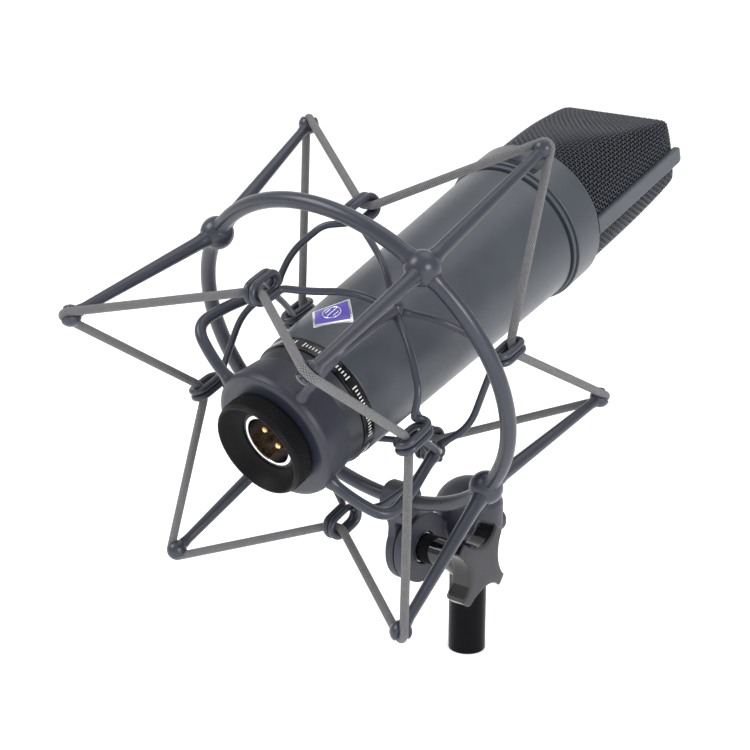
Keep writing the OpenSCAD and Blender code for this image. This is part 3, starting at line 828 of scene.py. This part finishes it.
def body():
    shell = [(20.4, BODY_Z0), (BODY_R0 - 0.1, BODY_Z0), (BODY_R0, BODY_Z0 + 0.3)]
    shell += [(BODY_R1, BODY_Z1 - 0.3), (BODY_R1 - 0.2, BODY_Z1), (24, BODY_Z1)]
    lip = [(23.2, 87.6), (25.2, 87.6), (25.2, 88.6), (27.2, 88.6), (27.2, 90.4), (23.2, 90.4)]
    ring = [(22, 90.4), (28, 90.4), (28, 104), (18, 104), (18, 101), (24.6, 101), (24.6, 95.4), (22, 95.4)]
    rest = (BODY_PAINT, "microphone", "body_paint")
    turned("body_shell", shell, 0.3, *rest, ["body_tube"], place=BODY, segments=256)
    turned("lip_shell", lip, 0.45, *rest, ["lip_ring"], segments=256)
    collar = turned("collar_shell", ring, 0.5, *rest, ["head_collar"], place=BODY, segments=256)
    cut_window(collar)
    slider()


def arc_block(r0, r1, half_angle, z0, z1, centre=90, steps=24):
    """A block bent round the Z axis."""
    verts, faces = [], []
    for i in range(steps + 1):
        az = centre - half_angle + 2 * half_angle * i / steps
        verts += [pol(r0, az, z0), pol(r1, az, z0), pol(r1, az, z1), pol(r0, az, z1)]
    for i in range(steps):
        a, b = i * 4, i * 4 + 4
        faces += [(a + k, b + k, b + (k + 1) % 4, a + (k + 1) % 4) for k in range(4)]
    faces += [(3, 2, 1, 0), tuple(steps * 4 + k for k in range(4))]
    return verts, faces


def cut_window(collar):
    """Cuts the selector's window into the collar."""
    half = math.degrees(math.asin(12.6 / COLLAR_R))
    verts, faces = arc_block(24.05, 30, half, 91.3, 93.9)
    cutter = shape("window_cutter", verts, faces, BODY, [], smooth=False)
    collar.modifiers.clear()
    cut = collar.modifiers.new("window", "BOOLEAN")
    cut.operation = "DIFFERENCE"
    cut.object = cutter
    bpy.context.view_layer.update()
    bake(collar)
    bpy.data.objects.remove(cutter)
    weighted(collar, 35)


def slider():
    half = math.degrees(math.asin(3 / 27.1))
    parts = [arc_block(24.4, 26.6, half, 91.6, 93.6)]
    parts += [arc_block(26.3, 27.1, 0.9, 91.6, 93.6, 90 + s * 3.2) for s in (-1, 0, 1)]
    rest = ("selector", "slider_black", ["pattern_slider"])
    piece = make("selector_knob", *join(parts), BODY, SLIDER_BLACK, *rest, smooth=False)
    edge = piece.modifiers.new("edges", "BEVEL")
    edge.width = 0.15 * MM
    edge.segments = 3


def badge_point(x, y, z0, radius, offset):
    """A point of a badge that is laid on the body, x and y along the badge's own edges."""
    across = (x - y) / math.sqrt(2)
    along = (x + y) / math.sqrt(2)
    z = z0 + along
    r = radius(z) + offset
    a = math.pi / 2 - across / r
    return Vector((r * math.cos(a), -r * math.sin(a), z))


def badge_plate(half_x, half_y, z0, radius, low, high, corner, steps=14):
    """A rounded plate curved round the body, from offset low to offset high over it."""
    outline = []
    for sx, sy, start in ((1, 1, 0), (-1, 1, 90), (-1, -1, 180), (1, -1, 270)):
        for k in range(7):
            g = math.radians(start + 15 * k)
            x, y = half_x - corner, half_y - corner
            outline.append((sx * x + corner * math.cos(g), sy * y + corner * math.sin(g)))
    verts = []
    n = len(outline)
    levels = [(1.0, low)] + [(1.0 - 0.02 * k, high - 0.06 * (2 - k)) for k in range(3)]
    levels += [(0.96 * (1 - i / steps), high) for i in range(1, steps)]
    for share, offset in levels:
        verts += [badge_point(x * share, y * share, z0, radius, offset) for x, y in outline]
    return verts, quads(len(levels), n) + [tuple(range((len(levels) - 1) * n, len(levels) * n))]


def collar_radius(z):
    return COLLAR_R


def emblem():
    """A plain circle with three upright bars in it, as raised lines on the enamel."""
    lines = [[(3.0 * math.cos(TAU * k / 48), 3.0 * math.sin(TAU * k / 48)) for k in range(49)]]
    for offset, reach in ((-1.2, 1.0), (0, 1.9), (1.2, 1.0)):
        lines.append([(offset + t * reach / 4, t * reach / 4 - offset) for t in range(-4, 5)])
    parts = []
    for line in lines:
        path = [badge_point(x, y, BADGE_Z, body_radius, 0.5) for x, y in line]
        parts.append(tube(path, 0.2, 8)[:2])
    make("badge_emblem", *join(parts), BODY, SILVER, "microphone", "badge_silver")


def badges():
    """A silver-edged enamel badge on the body and a small one on the collar, with a plain emblem."""
    plate = badge_plate(6.45, 5.55, BADGE_Z, body_radius, -0.3, 0.45, 0.5)
    make("badge_rim", *plate, BODY, SILVER, "microphone", "badge_silver", ["body_badge"])
    enamel = badge_plate(5.75, 4.85, BADGE_Z, body_radius, 0.2, 0.5, 0.3)
    make("badge_enamel", *enamel, BODY, VIOLET, "microphone", "badge_violet", ["badge_field"])
    emblem()
    small = badge_plate(2.5, 2.15, 98.4, collar_radius, -0.2, 0.5, 0.25)
    make("collar_plate", *small, BODY, VIOLET, "microphone", "badge_violet", ["collar_badge"])


# ---- head


def head_limits(z):
    """Half depth and half width that the head's planes and shoulders allow at height z."""
    depth = CREST + (HEAD_TOP - z) * WEDGE
    if z > HEAD_TOP - 3:
        depth -= 3 - math.sqrt(max(9 - (z - HEAD_TOP + 3) ** 2, 0))
    width = 60.0
    if z > HEAD_TOP - SHOULDER:
        width = HEAD_R - SHOULDER + math.sqrt(max(SHOULDER**2 - (z - HEAD_TOP + SHOULDER) ** 2, 0))
    return depth, width


def head_section(z, count, inset=0.0, power=26):
    """The head's outline at height z as points at even distances, starting at +X."""
    depth, width = head_limits(z)
    angles = np.linspace(0, TAU, 1441)
    c, s = np.abs(np.cos(angles)), np.abs(np.sin(angles))
    flats = (s / (depth - inset)) ** power + (c / (width - inset)) ** power
    inverse = (1 / (HEAD_R - inset)) ** power + flats
    r = inverse ** (-1 / power)
    line = np.stack([r * np.cos(angles), -r * np.sin(angles), np.full(len(r), z)], 1)
    return respaced(line, count + 1)[:-1]


def head_surface(around, up, z0, inset=0.0):
    """Points of the head's wall on an even grid: around it, and up each line to the flat top."""
    top = HEAD_TOP - inset
    low = np.linspace(z0, top - SHOULDER, 40, endpoint=False)
    high = top - SHOULDER * (1 - np.sin(np.linspace(0, math.pi / 2, 60)))
    levels = np.concatenate([low, high])
    rows = np.stack([head_section(z + inset, around, inset) for z in levels])
    rows[:, :, 2] = levels[:, None]
    return np.stack([respaced(rows[:, i], up + 1) for i in range(around)])


def grid_normals(grid):
    du = np.roll(grid, -1, 0) - np.roll(grid, 1, 0)
    dv = np.gradient(grid, axis=1)
    n = np.cross(du, dv)
    n /= np.maximum(np.linalg.norm(n, axis=2), 1e-9)[:, :, None]
    outward = np.sign(np.sum(n[:, :1, :2] * grid[:, :1, :2]))
    return n * outward


def wire_strips(points, sides, radius, closed):
    """Many thin wires of equal length at once: points is wires by samples by 3."""
    wires, n, _ = points.shape
    t = np.roll(points, -1, 1) - np.roll(points, 1, 1) if closed else np.gradient(points, axis=1)
    t /= np.maximum(np.linalg.norm(t, axis=2), 1e-9)[:, :, None]
    out = points - points.mean(axis=(0, 1))
    u = out - t * np.sum(out * t, axis=2)[:, :, None]
    u /= np.maximum(np.linalg.norm(u, axis=2), 1e-9)[:, :, None]
    v = np.cross(t, u)
    angles = TAU * (np.arange(sides) + 0.5) / sides
    ring = u[:, :, None] * np.cos(angles)[:, None] + v[:, :, None] * np.sin(angles)[:, None]
    verts = (points[:, :, None] + ring * radius).reshape(-1, 3)
    spans = n if closed else n - 1
    i = np.arange(spans)
    k = np.arange(sides)
    a = i[:, None] * sides + k
    b = ((i + 1) % n)[:, None] * sides + k
    c = ((i + 1) % n)[:, None] * sides + (k + 1) % sides
    d = i[:, None] * sides + (k + 1) % sides
    one = np.stack([a, d, c, b], 2).reshape(-1, 4)
    faces = (one[None] + (np.arange(wires) * n * sides)[:, None, None]).reshape(-1, 4)
    return verts, faces


def weave(wires, points, samples, phase):
    """How far each wire stands out at each point, from -1 to 1: over and under in turn."""
    sign = np.where((np.arange(wires) + phase) % 2 == 0, 1.0, -1.0)
    return sign[:, None] * np.cos(math.pi * np.arange(points) / samples)[None]


def woven_wall(pitch, radius, samples):
    """The coarse woven mesh of the head's wall as real wires that pass over and under."""
    around = int(round(TAU * HEAD_R / pitch / 4)) * 4
    up = int(round((HEAD_TOP - MESH_Z + 3) / pitch / 2)) * 2
    grid = head_surface(around * samples, up * samples, MESH_Z + 0.5, 0.6)
    normal = grid_normals(grid)
    lift = radius * 0.95
    columns = np.arange(0, around * samples, samples)
    wave = weave(around, up * samples + 1, samples, 0) * lift
    warp = grid[columns] + normal[columns] * wave[:, :, None]
    rows = np.arange(0, up * samples + 1, samples)
    wave = weave(len(rows), around * samples, samples, 1) * lift
    level, out = np.swapaxes(grid[:, rows], 0, 1), np.swapaxes(normal[:, rows], 0, 1)
    weft = level + out * wave[:, :, None]
    return [wire_strips(warp, WIRE_SIDES, radius, False), wire_strips(weft, WIRE_SIDES, radius, True)]


def woven_top(pitch, radius, samples):
    """The flat woven sheet that closes the head's top."""
    half_x, half_y = HEAD_R - SHOULDER - 0.2, CREST - 3 - 0.2
    z = HEAD_TOP - 0.6
    lift = radius * 0.95
    sheets = []
    for along, across, phase in ((half_y, half_x, 0), (half_x, half_y, 1)):
        wires = int(2 * across / pitch)
        crossings = int(2 * along / pitch)
        n = crossings * samples + 1
        place = (np.arange(wires) - (wires - 1) / 2) * pitch
        run = (np.arange(n) / samples - crossings / 2) * pitch
        height = z + weave(wires, n, samples, phase) * lift
        a = np.broadcast_to(place[:, None], height.shape)
        b = np.broadcast_to(run[None], height.shape)
        order = (a, b, height) if phase == 0 else (b, a, height)
        sheets.append(wire_strips(np.stack(order, 2), WIRE_SIDES, radius, False))
    return sheets


def fast_mesh(name, parts, place, material, body, replaces=()):
    """make() for big arrays of quads."""
    verts = np.concatenate([p[0] for p in parts])
    start = np.cumsum([0] + [len(p[0]) for p in parts[:-1]])
    faces = np.concatenate([p[1] + s for p, s in zip(parts, start)]).astype(np.int32)
    mesh = bpy.data.meshes.new(name)
    mesh.vertices.add(len(verts))
    mesh.vertices.foreach_set("co", verts.astype(np.float32).ravel())
    mesh.loops.add(faces.size)
    mesh.loops.foreach_set("vertex_index", faces.ravel())
    mesh.polygons.add(len(faces))
    mesh.polygons.foreach_set("loop_start", np.arange(0, faces.size, 4, dtype=np.int32))
    mesh.update(calc_edges=True)
    mesh.validate()
    mesh.transform(Matrix.Scale(MM, 4) @ place)
    mesh.materials.append(material)
    mesh.shade_smooth()
    return tie(show(name, mesh), body, replaces)


def grille():
    pitch, radius, samples = 1.35, 0.27, 4
    parts = woven_wall(pitch, radius, samples) + woven_top(pitch, radius, samples)
    fast_mesh("grille_wires", parts, BODY, WIRE_BLACK, "microphone", ["outer_grille"])
    around, up = 240, 90
    grid = head_surface(around, up, MESH_Z + 0.2, 1.2)
    verts = grid.reshape(-1, 3).tolist()
    faces, uv = [], []
    for i in range(around):
        j = (i + 1) % around
        for k in range(up):
            a, b = i * (up + 1) + k, j * (up + 1) + k
            faces.append((a + 1, b + 1, b, a))
            x0, x1, y0, y1 = i * 0.7, (i + 1) * 0.7, k * 0.72, (k + 1) * 0.72
            uv += [(x0, y1), (x1, y1), (x1, y0), (x0, y0)]
    faces.append(tuple(i * (up + 1) + up for i in range(around))[::-1])
    uv += [tuple(verts[i * (up + 1) + up][:2]) for i in range(around)][::-1]
    rest = (BODY, LINING_BLACK, "microphone", "mesh_inner", ["inner_mesh"])
    make("grille_lining", verts, faces, *rest, uv=uv)


def side_bar(side):
    """One painted bar, bent to the head's side and rounded at its upper end."""
    r0, r1, w, z0, z1 = 26.0, 28.2, BAR_HALF, MESH_Z, BAR_TOP
    rows = 40
    outline = soften([(r0, -w), (r1, -w), (r1, w), (r0, w)], 0.55, steps=4)
    n = len(outline)
    heights = [z0, z0 + 0.15, z0 + 0.5] + [z0 + 1 + (z1 - z0 - 3.4) * i / rows for i in range(rows + 1)]
    shrink = {z0: 0.94, z0 + 0.15: 0.985}
    for below, k in ((1.7, 0.985), (1.1, 0.95), (0.6, 0.89), (0.25, 0.81), (0.06, 0.74), (0.0, 0.66)):
        heights.append(z1 - below)
        shrink[z1 - below] = k
    middle = (r0 + r1) / 2
    verts = []
    for z in heights:
        k = shrink.get(z, 1.0)
        for r, y in outline:
            r, y = middle + (r - middle) * k, y * k
            verts.append((math.sqrt(r * r - y * y) * side, y, z))
    faces = quads(len(heights), n)
    faces += [tuple(range(n))[::-1], tuple(range((len(heights) - 1) * n, len(heights) * n))]
    return verts, faces if side > 0 else [face[::-1] for face in faces]


def side_bars():
    """The two painted bars that clamp the mesh, with the foot ring that they stand on."""
    foot = [(25.4, 0), (27.3, 0), (27.2, 1.1), (26.9, 1.5), (25.4, 1.5)]
    foot = soften([(r, MESH_Z + z) for r, z in foot], 0.3)
    parts = [side_bar(-1), side_bar(1), lathe(foot, 192)]
    piece = make("head_bars", *join(parts), BODY, BODY_PAINT, "microphone", "body_paint", ["head_frame"])
    weighted(piece)


# ---- stand head and knob


def cast_piece(name, node, material, body, voxel=0.32, rounds=14):
    """A cast and painted copy of a CAD node: the same shape with small fillets and soft edges."""
    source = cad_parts[node]
    piece = show(name, source.data.copy())
    piece.data.materials.clear()
    piece.data.materials.append(material)
    remesh = piece.modifiers.new("voxels", "REMESH")
    remesh.mode = "VOXEL"
    remesh.voxel_size = voxel * MM
    relax = piece.modifiers.new("relax", "SMOOTH")
    relax.factor = 0.5
    relax.iterations = rounds
    bpy.context.view_layer.update()
    bake(piece)
    piece.data.shade_smooth()
    tie(piece, body, [node])


def knob_radius(angle):
    """Radius of the star knob's outline at an angle: round lobes with four flutes between them."""
    centre, flute = FLUTE_AT, FLUTE_R
    inverse = (1 / KNOB_R) ** 7
    for k in range(4):
        off = (angle - math.radians(7 + 90 * k) + math.pi) % TAU - math.pi
        if abs(math.sin(off)) * centre < flute and math.cos(off) > 0:
            near = centre * math.cos(off) - math.sqrt(flute**2 - (centre * math.sin(off)) ** 2)
            inverse += (1 / near) ** 7
    return inverse ** (-1 / 7)


def star_knob():
    """The star: glossy flutes and lobes, and a matte face that is a little domed."""
    steps = 240
    outline = [knob_radius(TAU * i / steps) for i in range(steps)]
    back = [(4.0, 0.0), (1.6, 0.0), (0.9, 0.12), (0.3, 0.6), (0.0, 1.2)]
    front = [(0.15, 0.7), (0.5, 0.22), (1.0, 0.05), (1.8, 0.0), (4.0, 0.0), (8.0, 0.0)]
    wall_rows = 8
    first, last_wall = 2, len(back) + wall_rows - 1
    rows = []
    for inset, x in back:
        rows.append([(max(r - inset, 4), x) for r in outline])
    for k in range(1, wall_rows + 1):
        rows.append([(r, 1.2 + (knob_face(r) - 2.2) * k / wall_rows) for r in outline])
    for inset, drop in front:
        rows.append([(max(r - inset, 1), knob_face(max(r - inset, 1)) - drop) for r in outline])
    verts = []
    for row in rows:
        for i, (r, x) in enumerate(row):
            verts.append((r * math.cos(TAU * i / steps), r * math.sin(TAU * i / steps), x))
    end = (len(rows) - 1) * steps
    faces = quads(len(rows), steps) + [tuple(range(steps))[::-1], tuple(range(end, end + steps))]
    slots = [int(first <= i // steps < last_wall) for i in range(end)] + [0, 0]
    place = Matrix.Translation((KNOB_X, 0, 0)) @ HINGE
    rest = ("knob", "knob_plastic", ["star_knob"])
    piece = make("knob_star", verts, faces, place, [KNOB_MATTE, KNOB_GLOSS], *rest)
    piece.data.polygons.foreach_set("material_index", slots)
    piece.data.update()


def knob_face(r):
    """Height of the domed face at radius r."""
    return KNOB_T - 1.5 * (r / KNOB_R) ** 2


def knob_details():
    top = KNOB_X + 0.3
    hub = [(4.06, -2.1), (5.0, -2.1), (5.2, -1.6), (5.2, 10), (6.4, 14), (6.8, top), (4.06, top)]
    verts, faces = lathe(soften(hub, 0.4), 96)
    weighted(make("knob_neck", verts, faces, HINGE, KNOB_GLOSS, "knob", "knob_plastic", ["knob_hub"]))


def swivel():
    cast_piece("stand_casting", "stand_head", CAST_PAINT, "stand")
    cast_piece("ring_bracket", "ring_lug", CAST_PAINT, "frame")
    star_knob()
    knob_details()
    x0, x1 = LUG_X0, KNOB_X + 5
    bolt = [(0, x0 - 1.8), (5.6, x0 - 1.7), (6.4, x0 - 1.0), (6.4, x0), (4, x0), (4, x1), (0, x1)]
    verts, faces = spindle(soften(bolt, 0.3, closed=False)[::-1], 64)
    make("pivot_bolt", verts, faces, HINGE, STEEL, "frame", "bolt_steel", ["hinge_bolt"])
    outline = [(5.6, 0), (6.85, 0), (6.85, TUBE_LEN), (5.6, TUBE_LEN)]
    rest = (TUBE_BLACK, "stand", "tube_black", ["stand_tube"])
    turned("tube_shell", outline, 0.3, *rest, place=ROW, segments=128)


# ---- the CAD nodes that stay


def finish_nodes():
    """Materials for the CAD nodes whose own shape shows or lies inside."""
    finishes = {
        "tube_socket": BRASS,
        "tube_stud": STEEL,
        "thread_bushing": BRASS,
        "grub_screw": BLACK_STEEL,
        "clamp_washer": STEEL,
        "capsule_backplates": CAPSULE_BRASS,
        "capsule_rings": CAPSULE_BRASS,
        "capsule_diaphragms": FILM_GOLD,
        "capsule_saddle": INNER_PLASTIC,
        "chassis_rails": CHASSIS,
        "chassis_decks": CHASSIS,
        "circuit_board": BOARD_GREEN,
        "board_parts": PARTS_DARK,
        "output_transformer": CORE_STEEL,
        "chassis_screws": BLACK_STEEL,
    }
    for node, material in finishes.items():
        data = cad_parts[node].data
        data.materials.clear()
        data.materials.append(material)


# ---- camera, floor and light


def camera():
    """The photograph's viewpoint, given from the ring's centre in millimetres."""
    data = bpy.data.cameras.new("camera")
    data.lens = 72.8
    data.sensor_width = 36
    data.clip_start, data.clip_end = 0.02, 60
    view = show("camera", data)
    view.location = (RING_CENTRE + Vector((310.8, -359.9, 133.1))) * MM
    view.rotation_euler = (math.pi / 2 - VIEW_DROP, 0, VIEW_TURN)
    bpy.context.scene.camera = view


def softbox(name, place, target, size, power):
    data = bpy.data.lights.new(name, "AREA")
    data.shape = "RECTANGLE"
    data.size, data.size_y = size
    data.energy = power
    lamp = show(name, data)
    lamp.location = place
    aim = Vector(target) - Vector(place)
    lamp.rotation_euler = aim.to_track_quat("-Z", "Y").to_euler()


def studio():
    """A pale floor that curves up into a backdrop, and soft light from the left, right and above."""
    half, back, bend_r, top = 14.0, 9.0, 3.0, 8.0
    turn = Matrix.Rotation(VIEW_TURN, 4, "Z")
    profile = [(-half, 0.0)] + [(back * i / 6, 0.0) for i in range(1, 7)]
    for k in range(1, 13):
        g = math.pi / 2 * k / 12
        profile.append((back + bend_r * math.sin(g), bend_r * (1 - math.cos(g))))
    profile.append((back + bend_r, top))
    verts, faces = [], []
    for y, z in profile:
        verts += [turn @ Vector((-half, y, z)), turn @ Vector((half, y, z))]
    for i in range(len(profile) - 1):
        faces.append((2 * i, 2 * i + 1, 2 * i + 3, 2 * i + 2))
    mesh = bpy.data.meshes.new("floor")
    mesh.from_pydata([tuple(v) for v in verts], [], faces)
    mesh.shade_smooth()
    n = Nodes("floor_white").set(Roughness=0.85, Emission_Color=rgb(1, 1, 1), Emission_Strength=0.42)
    n.colour(n.ramp(n.noise(1.5), [(0.3, rgb(0.87, 0.87, 0.87)), (0.7, rgb(0.9, 0.9, 0.9))]))
    mesh.materials.append(n.material)
    show("floor", mesh)

    world = bpy.data.worlds.new("studio")
    world.use_nodes = True
    world.node_tree.nodes["Background"].inputs["Color"].default_value = rgb(1, 1, 1)
    world.node_tree.nodes["Background"].inputs["Strength"].default_value = 0.7
    bpy.context.scene.world = world
    bpy.context.scene.view_settings.view_transform = "Standard"
    centre = (0, -0.02, 0.12)
    softbox("key", (-0.55, -0.75, 0.95), centre, (0.6, 0.6), 7)
    softbox("fill", (1.05, -0.35, 0.45), centre, (0.5, 0.4), 6)
    softbox("top", (0.1, 0.25, 1.25), centre, (0.9, 0.9), 3)


def main():
    outer_ring()
    front = elastic("front_cord", -TIP_FRONT, FRONT_HOOK, -1, ["front_elastic"])
    rear = elastic("rear_cord", TIP_REAR, REAR_HOOK, 1, ["rear_elastic"])
    rods("front_rod_set", -TIP_FRONT, front, "front_rods")
    rods("rear_rod_set", TIP_REAR, rear, "rear_rods")
    hook_wires("front_hooks", FRONT_HOOK, 1, "front_hook_wires")
    hook_wires("rear_hooks", REAR_HOOK, -1, "rear_hook_wires")
    weld_beads()
    cage_arms()
    lower_end()
    connector()
    body()
    badges()
    grille()
    side_bars()
    swivel()
    finish_nodes()
    camera()
    studio()


main()
